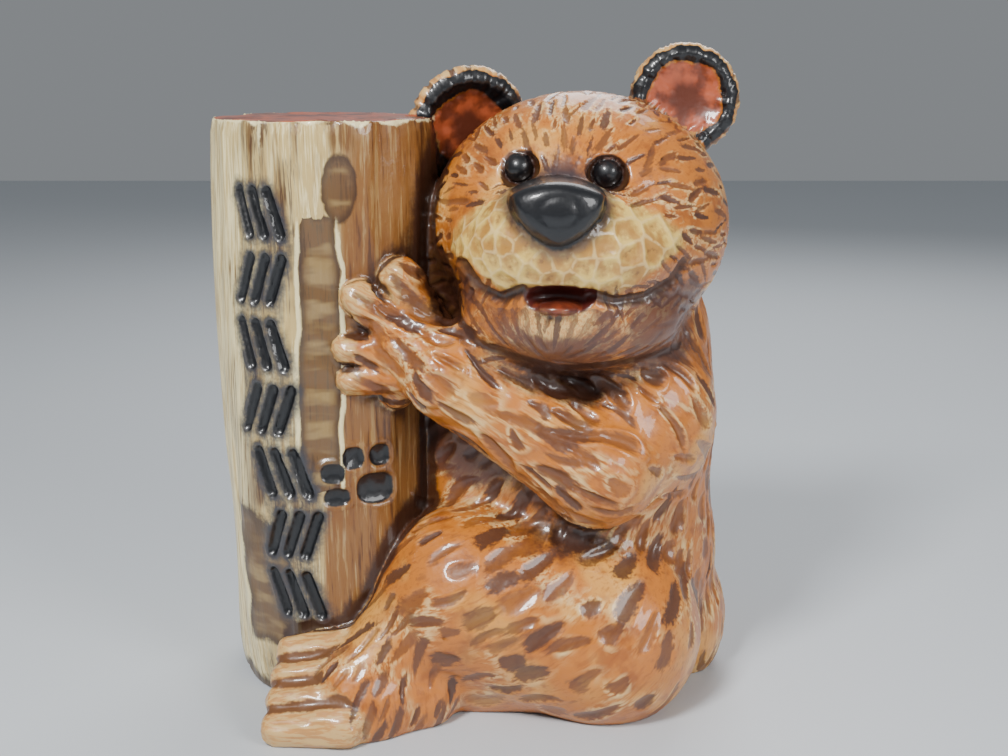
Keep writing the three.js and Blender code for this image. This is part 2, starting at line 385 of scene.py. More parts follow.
def digitShapes(side):
    return [limb(side(onTrunk(*root[:3])), root[3], side(onTrunk(*tip[:3])), tip[3])
            for root, tip in digits]


def toeShapes():
    shapes = []
    for side, tuck in zip(sides, (0, farTuck)):
        for i in range(toeForm["count"]):
            down = i / (toeForm["count"] - 1)
            out = toeForm["out"] + toeForm["outStep"] * down - tuck
            height = toeForm["height"] - toeForm["heightStep"] * down
            root = side((toeForm["root"], -out, height + 2))
            tip = side((toeForm["tip"] - toeForm["tipStep"] * down, -out, height))
            shapes.append(limb(root, toeForm["rootRadius"], tip, toeForm["tipRadius"]))
    return shapes


def pressLegs(block):
    for side, tuck in zip(sides, (0, farTuck)):
        at = {name: side((x, y + tuck, z)) for name, (x, y, z) in limbs.items()}
        (x, y, z), radii = body["seat"]
        block.press(bone(at, "hip", "knee"), fillet=9)
        block.press(egg(side((x, y + tuck, z)), radii), fillet=12)
        block.press(bone(at, "shin", "ankle"), fillet=10)
        block.press(bone(at, "ankle", "heel"), fillet=8)
        block.press(limb(at["heel"], girth["heel"] - 1, at["sole"], girth["sole"]), fillet=8)
    for toe in toeShapes():
        block.press(toe, fillet=2.5)


def pressArms(block):
    for side in sides:
        at = {name: side(point) for name, point in limbs.items()}
        block.press(egg(at["shoulder"], body["shoulder"]), fillet=18)
        block.press(bone(at, "shoulder", "elbow"), fillet=12)
        block.press(bone(at, "elbow", "wrist"), fillet=6)
        block.press(bone(at, "wrist", "palm"), fillet=8)
        for digit in digitShapes(side):
            block.press(digit, fillet=2.5)


def pressHead(block):
    for name, fillet in (("head", 6), ("muzzle", 10), ("snout", 10), ("ruff", 14), ("chin", 8)):
        block.press(egg(*face[name]), fillet)
    for ear in ears:
        r, f = ear["radius"], unit(np.array(ear["facing"]))
        cup = np.array(ear["at"]) + f * earForm["cupAhead"]
        wide = r * earForm["cupWide"]
        block.press(egg(ear["at"], (r, earForm["thick"], r), f), fillet=4)
        block.carve(egg(cup, (wide, earForm["cupDeep"], wide), f), fillet=3)
    for x, y, z in face["eyes"]:
        block.carve(egg((x, y, z), face["socket"]), fillet=2)
        block.press(egg((x, y + face["eyeSunk"], z), (face["eyeRadius"],) * 3), fillet=0)
    block.carve(egg(*face["mouth"]), fillet=2)
    block.press(egg(*face["tongue"]), fillet=0)


def sculpt():
    grid = (clay["low"], clay["high"], clay["voxel"], clay["far"])
    bear, log, whole = Clay(*grid), Clay(*grid), Clay(*grid)
    for name, fillet in (("belly", 20), ("hips", 24), ("chest", 24)):
        bear.press(egg(*body[name]), fillet)
    bear.press(limb(*body["lap"]), fillet=16)
    bear.press(egg(*body["tail"]), fillet=5)
    pressLegs(bear)
    pressArms(bear)
    pressHead(bear)
    bear.press(noseShape(), fillet=1.5)
    log.press(trunkShape(), fillet=0)
    whole.field = smoothMin(bear.field, log.field, fillet=3)
    return whole, bear, log


# Surface nets: one vertex in each cell that the surface crosses. The lowest layer of cells is
# turned inside out, which closes the skin at the table.
def skin(block):
    field = block.field.copy()
    field[:, :, 0] = np.maximum(-field[:, :, 1], 0.05)
    inside = field < 0
    count = np.zeros(np.array(field.shape) - 1, np.int8)
    corners = [(dx, dy, dz) for dx in (0, 1) for dy in (0, 1) for dz in (0, 1)]
    for dx, dy, dz in corners:
        count += inside[dx:dx + count.shape[0], dy:dy + count.shape[1], dz:dz + count.shape[2]]
    active = (count > 0) & (count < 8)
    cells = np.argwhere(active)
    index = np.full(count.shape, -1, np.int32)
    index[active] = np.arange(len(cells))
    total = np.zeros((len(cells), 3), np.float32)
    crossings = np.zeros(len(cells), np.float32)
    values = {c: field[tuple((cells + c).T)] for c in corners}
    for c in corners:
        for a in range(3):
            if c[a]:
                continue
            d = list(c)
            d[a] = 1
            va, vb = values[c], values[tuple(d)]
            crossing = (va < 0) != (vb < 0)
            at = np.tile(np.array(c, np.float32), (len(cells), 1))
            at[:, a] = np.where(crossing, va / np.where(crossing, va - vb, 1), 0)
            total += at * crossing[:, None]
            crossings += crossing
    points = block.low + block.voxel * (cells + total / crossings[:, None])
    quads = []
    for a in range(3):
        b, c = (a + 1) % 3, (a + 2) % 3
        lower = [slice(1, -1)] * 3
        lower[a] = slice(0, -1)
        upper = list(lower)
        upper[a] = slice(1, None)
        first, second = inside[tuple(lower)], inside[tuple(upper)]
        change = np.argwhere(first != second)
        outward = first[tuple(change.T)]
        at = change + 1
        at[:, a] -= 1
        corner = []
        for db, dc in ((-1, -1), (0, -1), (0, 0), (-1, 0)):
            q = at.copy()
            q[:, b] += db
            q[:, c] += dc
            corner.append(index[tuple(q.T)])
        quad = np.stack(corner, 1)
        quad[~outward] = quad[~outward][:, ::-1]
        quads.append(quad)
    return points.astype(np.float32), np.concatenate(quads)


# How evenly the gouges lie, how much they differ in size as shares of their zone's own, how
# many degrees they turn out of the flow, and where their rims stand.
handwork = {
    "tries": 14000,
    "crowding": 0.4,
    "crowdingSize": 30,
    "half": (0.55, 1.4),
    "wide": (0.6, 1.35),
    "deep": (0.4, 1.25),
    "turn": 11,
    "blunt": 0.3,
    "rimAt": 1.22,
    "rimWide": 0.24,
}


# What the carver left at each point of the skin, in mm: how deep the cut is, how high its rim
# stands, and the masks that the paint follows.
class Relief:
    def __init__(self, points, normals):
        self.points, self.normals = points, normals
        self.depth = np.zeros(len(points), np.float32)
        self.rim = np.zeros(len(points), np.float32)
        self.gouge = np.full(len(points), -1, np.float32)
        self.ink = np.zeros(len(points), np.float32)
        self.tree = treeOf(points)

    def near(self, point, reach):
        return np.array([found[1] for found in self.tree.find_range(point, reach)], np.int64)

    # Spreads gouges over a zone, each lying along the flow, none closer than the spacing.
    def scatter(self, zone, flow, spacing, seed):
        rng = np.random.default_rng(seed)
        crowding = Noise(seed)(self.points, (handwork["crowdingSize"],) * 3)
        crowding = 1 + handwork["crowding"] * crowding
        room = {}
        picked = []
        around = [(dx, dy, dz) for dx in (-1, 0, 1) for dy in (-1, 0, 1) for dz in (-1, 0, 1)]
        for i in rng.permutation(np.flatnonzero(zone))[:handwork["tries"]].tolist():
            p = self.points[i]
            along, across = spacing[0] * crowding[i], spacing[1] * crowding[i]
            key = tuple(np.floor(p / spacing[0]).astype(int).tolist())
            boxes = [tuple(map(sum, zip(key, step))) for step in around]
            near = [found for box in boxes for found in room.get(box, ())]
            if near:
                d = p - np.array([q for q, _ in near])
                u = (d * np.array([f for _, f in near])).sum(1)
                if np.any(u * u / along ** 2 + ((d * d).sum(1) - u * u) / across ** 2 < 1):
                    continue
            room.setdefault(key, []).append((p, flow[i]))
            picked.append(i)
        return picked

    # Cuts gouges with raised rims at the picked points.
    def gougeAt(self, picked, flow, size, seed):
        rng = np.random.default_rng(seed)
        for i in picked:
            half = size["half"] * rng.uniform(*handwork["half"])
            wide = size["wide"] * rng.uniform(*handwork["wide"])
            deep = size["deep"] * rng.uniform(*handwork["deep"])
            bend = size["bend"] * rng.uniform(-1, 1)
            ink = rng.uniform(size["ink"], 1.0)
            turn = math.radians(rng.normal(0, handwork["turn"]))
            n, straight = self.normals[i], flow[i]
            aside = np.cross(n, straight)
            f = straight * math.cos(turn) + aside * math.sin(turn)
            side = aside * math.cos(turn) - straight * math.sin(turn)
            ids = self.near(self.points[i], half * 1.5)
            ids = ids[self.normals[ids] @ n > 0.2]
            d = self.points[ids] - self.points[i]
            u = d @ f
            v = d @ side + bend * (u * u / half + 0.7 * wide * np.sin(u / half * 3 + i))
            taper = 1 - handwork["blunt"] * u / half
            q = (np.abs(u / half) ** 3 + np.abs(v / (wide * taper)) ** 2) ** (1 / 2.4)
            fade = np.abs(d @ n) < 6
            cutHere = deep * np.clip(1 - q * q, 0, 1) * fade
            crest = np.exp(-((q - handwork["rimAt"]) / handwork["rimWide"]) ** 2)
            rimHere = deep * size["rim"] * crest * fade * (q > 0.7)
            self.depth[ids] = np.maximum(self.depth[ids], cutHere)
            self.rim[ids] = np.maximum(self.rim[ids], rimHere)
            closer = (1 - q) * fade - (~fade) > self.gouge[ids]
            chosen = ids[closer]
            self.gouge[chosen] = (1 - q)[closer]
            self.ink[chosen] = ink


def distanceToLine(points, line):
    best = np.full(len(points), 1e3, np.float32)
    line = np.array(line, np.float32)
    for a, b in zip(line[:-1], line[1:]):
        ab = b - a
        h = np.clip((points - a) @ ab / (ab @ ab), 0, 1)
        best = np.minimum(best, np.linalg.norm(points - a - h[:, None] * ab, axis=1))
    return best


def flowAlong(normals, direction):
    direction = np.broadcast_to(direction, normals.shape)
    flat = direction - normals * (direction * normals).sum(1, keepdims=True)
    return unit(flat)


# The carved faces of the log, unrolled: angle round it in degrees, height in mm.
logCarving = {
    "rows": 7,
    "rowTop": 251.0,
    "rowBottom": 59.5,
    "stroke": 20.0,
    "strokeHalf": 3.2,
    "strokeDeep": 2.5,
    "strokeGap": 9.5,
    "lean": 0.35,
    "column": -30.0,
    "columnShift": 15.0,
    "pads": (
        (27.7, 114.3, 10.2, 8.2),
        (5.8, 123.4, 6.6, 5.4),
        (16.5, 130.6, 6.0, 6.0),
        (30.6, 131, 5.8, 5.8),
        (7.6, 111.2, 7.0, 4.9),
    ),
    "padSquare": 2.6,
    "printDeep": 1.6,
    "band": {"from": -9.0, "to": 11.0, "low": 120.0, "high": 240.0, "deep": 2.4},
    "oval": {"at": 13.0, "height": 263.0, "wide": 9.0, "tall": 17.0, "deep": 1.2},
    "stainDeep": 1.2,
    "grain": 0.55,
    "flutes": 0.9,
}
nowhere = -50  # the value of a mark far away from it


# Signed mm to the nearest painted mark on the log, positive inside a mark. The rows of strokes
# lean left and right by turns, and the paw print is a pad with four toes.
def logMarks(angle, z):
    c = logCarving
    across = math.pi / 180 * trunk["radius"]
    strokes = np.full(len(z), nowhere, np.float32)
    for row in range(c["rows"]):
        t = row / (c["rows"] - 1)
        height = c["rowTop"] + (c["rowBottom"] - c["rowTop"]) * t
        column = c["column"] + c["columnShift"] * smoothStep(t, 0.35, 0.85)
        lean = c["lean"] * (1 if row % 2 else -1)
        for k in (-1, 0, 1):
            u = (angle - column - k * c["strokeGap"]) * across
            v = z - height
            s = np.clip((u * lean + v) / (1 + lean ** 2), -c["stroke"] / 2, c["stroke"] / 2)
            d = np.hypot(u - lean * s, v - s)
            strokes = np.maximum(strokes, c["strokeHalf"] - d)
    prints = np.full(len(z), nowhere, np.float32)
    square = c["padSquare"]
    for at, height, wide, tall in c["pads"]:
        u, v = np.abs(angle - at) * across / wide, np.abs(z - height) / tall
        q = (u ** square + v ** square) ** (1 / square)
        prints = np.maximum(prints, (1 - q) * min(wide, tall))
    return strokes, prints


# Grooves of the face in X and Z, cut straight back from the front.
faceLines = {
    "smileLeft": {
        "path": ((8, 222), (-2, 216.5), (-11, 220), (-19, 231)),
        "wide": 3.3,
        "deep": 3.0,
    },
    "smileRight": {
        "path": ((39, 220), (50, 216), (64, 217), (77, 223), (83, 231)),
        "wide": 3.3,
        "deep": 3.0,
    },
    "ruff": {
        "path": ((-34, 214), (-11, 193), (26, 183), (63, 186), (94, 187)),
        "wide": 2.4,
        "deep": 0.5,
    },
}


def gouges(along, across, half, wide, deep, rim, ink, bend):
    return {"spacing": (along, across), "half": half, "wide": wide, "deep": deep,
            "rim": rim, "ink": ink, "bend": bend}


# The gouges of each zone: spacing along and across the fur, half length, half width and depth
# in mm, then shares for the rim's height, the least ink and the bend.
fur = {
    "head": gouges(14, 4.9, 7.8, 1.4, 1.2, 0.2, 0.55, 0.06),
    "neck": gouges(15, 4.6, 9.0, 1.3, 0.6, 0.2, 0.3, 0.05),
    "torso": gouges(20, 10, 10.0, 3.6, 1.4, 0.3, 0.35, 0.25),
    "leg": gouges(22, 12, 10.0, 4.0, 1.2, 0.3, 0.35, 0.25),
    "shin": gouges(20, 7.0, 9.5, 2.1, 0.9, 0.2, 0.4, 0.15),
    "arm": gouges(22, 9, 11.0, 3.1, 1.8, 0.45, 0.3, 0.2),
    "tail": gouges(19, 7.5, 8.5, 2.2, 1.3, 0.3, 0.2, 0.1),
}

# The fur of the body sweeps round a line across it at x and z, the head's parts from one point,
# and the neck's gathers to another.
sweep = {"x": -60, "z": 160, "part": (26, -84, 250), "gather": (21, -88, 184)}
# How slowly a brush stroke changes along its length, and the radii in mm at which strokes that
# fan out or turn have their true width.
brush = {"draw": 0.12, "fan": 60, "turn": 110}


# Which form each point of the skin belongs to, with the way the fur runs there.
def furZones(points, normals):
    arms, legs, shins = [], [], []
    for side in sides:
        at = {name: side(point) for name, point in limbs.items()}
        seatAt, seatRadii = body["seat"]
        arms += [bone(at, "shoulder", "elbow"), bone(at, "elbow", "wrist"), bone(at, "wrist", "palm")]
        arms += digitShapes(side)
        legs += [bone(at, "hip", "knee"), egg(side(seatAt), seatRadii)]
        shins += [bone(at, "shin", "ankle"), bone(at, "heel", "sole")]
    forms = {
        "head": nearest([egg(*face[name]) for name in ("head", "muzzle", "snout")], points),
        "neck": nearest([egg(*face[name]) for name in ("ruff", "chin")], points) + 1,
        "torso": nearest([egg(*body[name]) for name in ("belly", "hips", "chest")], points),
        "leg": nearest(legs, points),
        "shin": nearest(shins, points),
        "toes": nearest(toeShapes(), points),
        "arm": nearest(arms, points),
        "tail": distanceTo(egg(*body["tail"]), points) - 1,
    }
    names = list(forms)
    owner = np.argmin([forms[n] for n in names], axis=0)
    x, z = points[:, 0], points[:, 2]
    arcs = np.stack([sweep["z"] - z, 0 * x, x - sweep["x"]], 1)
    reach = np.array(limbs["wrist"], float) - np.array(limbs["elbow"], float)
    reach = np.where(points[:, 1:2] > 0, reach * (1, -1, 1), reach)
    away = points - np.array(sweep["part"], np.float32)
    gather = np.array(sweep["gather"], np.float32) - points
    flows = {
        "head": away,
        "neck": gather,
        "torso": arcs,
        "leg": arcs,
        "arm": reach,
        "shin": np.array((-0.5, 0, -1.0)),
        "toes": np.array((1.0, 0, 0.1)),
        "tail": np.array((0, 0, 1.0)),
    }
    flow = np.zeros_like(points)
    for k, name in enumerate(names):
        here = owner == k
        direction = np.broadcast_to(flows[name], points.shape)[here]
        flow[here] = flowAlong(normals[here], direction)
    zones = {n: owner == k for k, n in enumerate(names)}
    return zones, flow, forms, brushPlaces(points, zones, away, gather, reach)


# Coordinates drawn out along the fur, so that a fine noise in them looks like a dry brush.
def brushPlaces(points, zones, away, gather, reach):
    draw = brush["draw"]
    place = points * (1, 1, draw)
    for name, ray in (("head", away), ("neck", gather)):
        length = np.linalg.norm(ray, axis=1, keepdims=True)
        drawn = ray / np.maximum(length, 1) * (brush["fan"] + draw * length)
        place[zones[name]] = drawn[zones[name]]
    rise, run = points[:, 2] - sweep["z"], points[:, 0] - sweep["x"]
    swept = np.arctan2(rise, run) * brush["turn"]
    curved = zones["torso"] | zones["leg"]
    place[curved] = np.stack([np.hypot(rise, run), points[:, 1], draw * swept], 1)[curved]
    along = unit(reach)
    drawn = points - (1 - draw) * (points * along).sum(1, keepdims=True) * along
    place[zones["arm"]] = drawn[zones["arm"]]
    place[zones["toes"]] = (points * (draw, 1, 1))[zones["toes"]]
    return place


# Where each point lies on an ear: its share of the radius, how far ahead, and its direction.
def earCoordinates(points, ear):
    c, f, r = np.array(ear["at"]), unit(np.array(ear["facing"])), ear["radius"]
    d = points - c
    ahead = d @ f
    flat = d - ahead[:, None] * f
    side = unit(np.cross(f, (0, 0, 1)))
    up = np.cross(side, f)
    turn = np.arctan2(flat @ up, flat @ side)
    return np.linalg.norm(flat, axis=1) / r, ahead, turn


# How far each point is from the parts of the face in mm, negative inside them. The muzzle's own
# value is positive on it, above the line of the lips.
def faceNear(points, headNear):
    x, _, z = points.T
    snout = nearest([egg(*face["muzzle"]), egg(*face["snout"])], points)
    muzzle = distanceTo(egg(*face["head"]), points) - snout
    muzzle = np.minimum(muzzle, z - np.interp(x, *face["lips"]))
    eyes = [np.array((ex, ey + face["eyeSunk"], ez)) for ex, ey, ez in face["eyes"]]
    eyeNear = np.min([np.linalg.norm(points - eye, axis=1) for eye in eyes], axis=0)
    return {
        "muzzle": muzzle * (headNear < 3) - 40 * (headNear >= 3),
        "nose": distanceTo(noseShape(), points),
        "eye": eyeNear - face["eyeRadius"],
        "mouth": distanceTo(egg(*face["mouth"]), points),
        "tongue": distanceTo(egg(*face["tongue"]), points),
    }


# Cuts ribs round each ear's rim. Gives where the ears are, and masks of cup, rim and edge.
def carveEars(relief):
    points = relief.points
    offHead = distanceTo(egg(*face["head"]), points) > 1.5
    onEar = np.zeros(len(points), bool)
    inner, rim, edge = (np.full(len(points), -20, np.float32) for _ in range(3))
    for ear in ears:
        share, ahead, turn = earCoordinates(points, ear)
        r = ear["radius"]
        here = (share < 1.12) & (np.abs(ahead) < 13) & offHead
        onEar |= here
        front = here & (relief.normals @ unit(np.array(ear["facing"])) > -0.25)
        cupEdge = earForm["red"] + 0.03 * np.sin(5 * turn + r) - ear["redLess"]
        ring = np.minimum(share - cupEdge, earForm["rim"] + 0.02 * np.sin(9 * turn) - share) * r
        inner = np.maximum(inner, np.where(front, (cupEdge - share) * r, -20))
        rim = np.maximum(rim, np.where(front, ring, -20))
        edge = np.maximum(edge, np.where(here, 4 - np.abs(share - 1) * 1.6 * r, -20))
        ribs = 0.35 * np.cos(46 * turn + 4 * np.sin(5 * turn)) + 0.35 * np.sin(17 * turn) + 0.3
        relief.depth += np.where(front & (share > cupEdge - 0.05), ribs, 0)
        relief.depth += np.where(front & (share < cupEdge), 0.5 * np.cos(9 * turn) * share, 0)
    return onEar, inner, rim, edge


def carveFur(relief, zones, flow, bare):
    found = {}
    for seed, (name, size) in enumerate(fur.items()):
        zone = zones[name] & ~bare
        if name == "leg":
            zone = zone & (relief.points[:, 2] > 9)
        picked = relief.scatter(zone, flow, size["spacing"], seed + 5)
        relief.gougeAt(picked, flow, size, seed + 40)
        found[name] = len(picked)
    print("gouges", found)


# Hammers small facets into the muzzle. Gives how far each point is from a facet's edge.
def hammerMuzzle(relief, flow, near, front):
    points = relief.points
    onMuzzle = (near["muzzle"] > -2) & front & (near["nose"] > 1)
    tree = treeOf(points[relief.scatter(onMuzzle, flow, (9.6, 9.6), 11)])
    facet = np.full(len(points), 6, np.float32)
    for i in np.flatnonzero(onMuzzle).tolist():
        (_, _, first), (_, _, second) = tree.find_n(points[i].tolist(), 2)
        facet[i] = second - first
    fade = smoothStep(near["muzzle"], -2, 3) * smoothStep(near["nose"], 1, 4)
    relief.depth += np.where(onMuzzle, 0.8 * smoothStep(facet, 0, 5.5) * fade, 0)
    return facet


# Cuts the face's grooves. Gives how far each point is from them, in shares of their width.
def carveFaceLines(relief, zones, onLog, front):
    x, y, z = relief.points.T
    flat = np.stack([x, z], 1)
    facing = front & ~onLog & (y < -30)
    lines = np.full(len(x), 5, np.float32)
    for name, line in faceLines.items():
        q = distanceToLine(flat, line["path"]) / line["wide"]
        here = facing & (zones["neck"] | zones["head"] if name == "ruff" else y < -62)
        cutHere = line["deep"] * np.clip(1 - q * q, 0, 1)
        relief.depth = np.where(here, np.maximum(relief.depth, cutHere), relief.depth)
        lines = np.where(here, np.minimum(lines, q), lines)
    return lines


# An inset ring on the nose, and bevelled lower sides.
def carveNose(relief, noseNear):
    x, y, z = relief.points.T
    onNose = (noseNear < 0.8) & (y < -104)
    ring = np.hypot((x - nose["middle"]) / 1.35, z - nose["corner"] + 1)
    relief.depth += np.where(onNose, 0.5 * np.exp(-((ring - 6.2) / 1.1) ** 2), 0)
    edge, steep = noseEdge(np.abs(x - nose["middle"]))
    relief.depth += np.where(onNose, 1.3 * (1 - smoothStep((z - edge) / steep, 2.5, 6.0)), 0)


def wrinkleDigits(relief, zones, forms, onLog, noise):
    hands = zones["arm"] & (relief.points[:, 0] < -30) & (forms["arm"] < 2)
    toes = zones["toes"] & ~onLog
    relief.depth += np.where(hands | toes, 0.9 * noise(relief.points, (8, 3, 3)), 0)


# The long planed band: how deep it is cut, how high its border stands, and how far inside it
# a point lies.
def planedBand(angle, z, unrolled, noise):
    band = logCarving["band"]
    upper = 1 - smoothStep(z, band["high"] - 4, band["high"] + 16)
    along = smoothStep(z, band["low"] - 14, band["low"] + 6) * upper
    middle = (band["from"] + band["to"]) / 2 + 1.2 * np.sin(z / 28)
    half = (band["to"] - band["from"]) / 2 + 1.6 * noise(unrolled + 11, (40, 50, 13))
    inside = 1 - ((angle - middle) / half) ** 2
    chatter = 0.25 * np.sin(z / 2.6 + 0.1 * angle) * (inside > 0) * along
    planed = band["deep"] * np.clip(inside, 0, 1) * along + chatter
    ridge = 1.1 * np.exp(-((np.abs(angle - middle) - half - 1.0) / 0.95) ** 2) * along
    return planed, ridge, np.where(along > 0.3, inside * 7, -9)


# Carves the log. Gives what the paint has to know about it.
def carveLog(relief, onLog, noise):
    x, y, z = relief.points.T
    c, oval = logCarving, logCarving["oval"]
    angle = np.degrees(np.arctan2(x - trunk["x"], -y))
    unrolled = np.stack([np.radians(angle) * trunk["radius"], 0 * z, z], 1)
    flank = onLog & (np.abs(relief.normals[:, 2]) < 0.7)
    top = onLog & (relief.normals[:, 2] > 0.7)

    strokes, prints = logMarks(angle, z)
    marks = c["strokeDeep"] * smoothStep(strokes, 0, 1.6) + c["printDeep"] * smoothStep(prints, 0, 1.2)
    burrs = 0.5 * np.exp(-((strokes + 1.0) / 0.8) ** 2) + 0.6 * np.exp(-((prints + 1.2) / 0.9) ** 2)
    burrs = burrs * (1 - smoothStep(strokes, -0.4, 0.2))
    plain = smoothStep(-np.maximum(strokes, prints), -0.5, 2)

    fine = 0.5 * c["flutes"] * noise(unrolled + 40, (4.5, 50, 60))
    flutes = c["flutes"] * noise(unrolled, (9, 50, 95)) + fine
    grainFade = 0.5 + 0.5 * noise(unrolled, (30, 50, 60))
    grain = c["grain"] * noise(unrolled + 80, (3.6, 50, 34)) * grainFade
    planed, ridge, bandIn = planedBand(angle, z, unrolled, noise)
    ovalIn = 1 - np.hypot((angle - oval["at"]) / oval["wide"], (z - oval["height"]) / oval["tall"])
    wobble = 5 * noise(unrolled + 60, (14, 50, 14))
    corner = 0.3 * (10 - z) + 0.3 * wobble
    stainSides = [(angle + 51) * 0.8, (-17 - angle) * 0.5, (100 - z) * 0.18, (z - 24) * 0.4]
    stain = np.min(stainSides, axis=0) + wobble
    stainEdge = np.exp(-((stain + 1.2) / 1.1) ** 2) * (angle < -40)
    ridge += 0.9 * stainEdge * smoothStep(z, 30, 45) * (z < 90)
    scooped = oval["deep"] * smoothStep(ovalIn, 0, 0.5)
    scooped = scooped + c["stainDeep"] * smoothStep(stain, 0, 5) * (angle < -18)
    spine = -27 + 13 * smoothStep(250 - z, 60, 170)
    broken = smoothStep(noise(unrolled, (50, 50, 17)), -0.4, 0.3)
    seam = 0.7 * np.exp(-((angle - spine) / 1.3) ** 2) * broken
    chipped = 1.6 * (0.5 + 0.5 * noise(unrolled, (5, 50, 400))) * smoothStep(z, 286, 294)

    bark = (flutes + grain) * (0.35 + 0.65 * plain) + planed * plain + scooped + marks + chipped
    relief.depth += np.where(flank, bark, 0)
    relief.rim += np.where(flank, ridge + seam + burrs, 0)
    rings = noise(relief.points, (14, 14, 50)) + 0.5 * noise(relief.points + 30, (5, 5, 50))
    relief.depth += np.where(top, 0.9 + 0.7 * rings, 0)

    stained = np.where(angle < -18, np.maximum(corner, stain), -9)
    return {
        "angle": angle,
        "top": top,
        "strokes": np.where(flank, strokes, nowhere),
        "prints": np.where(flank, prints, nowhere),
        "patch": np.where(flank, np.max([bandIn, ovalIn * 12, stained], axis=0), -9),
        "topRim": np.where(onLog, z - 292.6 - 2.4 * noise(unrolled, (6, 50, 300)), -20),
        "raised": np.where(flank, ridge + seam, 0),
    }


# Soft areas of paint on the bear: centre, stretch along each axis, and radius in mm.
areas = {
    # throat: painted shade under the chin
    "throat": ((26, -68, 187), (1.9, 1.2, 0.6), 24),
    "chin": ((24, -95, 208), (1.5, 1.2, 0.8), 13),
    "brow": ((26, -84, 275), (1.1, 1.2, 0.9), 15),
    "jaw": ((68, -56, 202), (1.1, 1.2, 0.8), 36),
    "cheek": ((-16, -66, 218), (1.2, 1.2, 1.4), 13),
    # armpit and crease: painted shade under the arm and in the belly's crease
    "armpit": ((-16, -40, 132), (1.1, 1.2, 0.8), 30),
    "crease": ((38, -74, 92), (2.2, 1.5, 0.8), 14),
}


# How deep each point lies inside an area, in mm.
def inArea(name, points):
    centre, stretch, radius = areas[name]
    return radius - np.linalg.norm((points - centre) / stretch, axis=1)


# Purple-brown paint on the brow, jaw, cheek and under the mouth, and painted shade under the arms, in the
# belly's crease and under the chin.
def shadeMask(points, zones, chin):
    beard = np.where(zones["neck"], 9, -9) - 2.2 * np.maximum(chin, 0)
    beard = beard - 0.25 * np.abs(points[:, 0] - 25) + 3
    shades = [inArea(name, points) for name in ("brow", "jaw", "cheek", "armpit", "crease")]
    return np.max([*shades, beard, inArea("throat", points) - 14], axis=0)


# How much of the room in front of each point is filled, from 0 to 1; the glaze is darkened there as
# painted shade.
def occlusion(points, normals, bear, log):
    total = np.zeros(len(points), np.float32)
    whole = np.minimum(bear.field, log.field)
    for reach in (5, 11, 20):
        total += np.clip(1 - bear.sample(points + normals * reach, whole) / reach, 0, 1) / 3
    return total


def carveSkin(points, normals, bear, log):
    relief = Relief(points, normals)
    x, y, z = points.T
    front = normals[:, 1] < 0.15
    wood = bear.sample(points) - log.sample(points)
    onLog = wood > 0
    low = z < 1.2
    zones, flow, forms, brushPlace = furZones(points, normals)
    near = faceNear(points, forms["head"])
    onEar, earInner, earRim, earEdge = carveEars(relief)

    claws = [egg(side(onTrunk(*tip[:3])), (tip[3] + 1,) * 3) for side in sides for _, tip in digits[:4]]
    clawNear = np.where(x < -48, nearest(claws, points), 20)
    bare = onLog | low | onEar | (clawNear < 2) | (near["muzzle"] > -1.5)
    bare = bare | (near["nose"] < 3) | (near["eye"] < 5.5) | (near["mouth"] < 3)
    bare = bare | ((inArea("throat", points) > 4) & ~zones["neck"])
    carveFur(relief, zones, flow, bare)
    earBacks = onEar & (earInner < -1) & (earRim < -1.5) & ~low
    relief.gougeAt(relief.scatter(earBacks, flow, (14, 7), 71), flow, fur["head"], 72)
    facet = hammerMuzzle(relief, flow, near, front)
    lines = carveFaceLines(relief, zones, onLog, front)
    carveNose(relief, near["nose"])
    noise = Noise(3)
    wrinkleDigits(relief, zones, forms, onLog, noise)
    bark = carveLog(relief, onLog, noise)

    chin = inArea("chin", points)
    angle = bark["angle"]
    edge = np.interp(z, (0, 108, 124, 236, 250, 295), (-4, 0, 9.5, 9.5, 6, 3))
    soft = np.interp(z, (0, 108, 130, 236, 295), (3, 3, 3.5, 6, 26))
    toeNear = np.sort([distanceTo(toe, points) for toe in toeShapes()], axis=0)
    toeGap = 3.4 - (toeNear[1] - toeNear[0]) - np.maximum(forms["toes"] - 2, 0) * 3
    black = [0.9 - near["nose"], 0.6 - near["eye"], bark["strokes"], bark["prints"], earRim]
    red = [earInner, 0.8 - near["tongue"], np.where(bark["top"], 5, -20)]
    masks = {
        "gouge": relief.gouge,
        "ink": relief.ink,
        "wood": wood,
        "black": np.max(black, axis=0),
        "halo": np.maximum(bark["strokes"], 0.9 - near["nose"]),
        "red": np.max(red, axis=0),
        "mouth": 1.2 - near["mouth"],
        "muzzle": near["muzzle"],
        "facet": facet,
        "lines": lines,
        "cream": np.max([2.5 - forms["toes"], chin, 1.5 - clawNear, earEdge], axis=0),
        "shade": shadeMask(points, zones, chin),
        # painted shade: darker where the room in front is filled, in creases and under the arms and head
        "hollowShade": occlusion(points, normals, bear, log),
        "bearSide": smoothStep(angle - edge, 0, soft) * smoothStep(angle, 176, 150) * onLog,
        "outerSide": smoothStep(-angle, 34, 46) * smoothStep(-angle, 168, 150) * onLog,
        "lid": np.where(onLog, -9, 1.6 - np.abs(near["eye"] - 3.2)) - np.where(z > 275, 3, 0),
        "socket": 2.6 - near["eye"],
        "toeGap": toeGap,
        "patch": bark["patch"],
        "topRim": bark["topRim"],
        "raised": bark["raised"],
    }
    masks = {name: np.clip(values, -20, 20) for name, values in masks.items()}
    masks["brushPlace"] = brushPlace
    return relief, masks


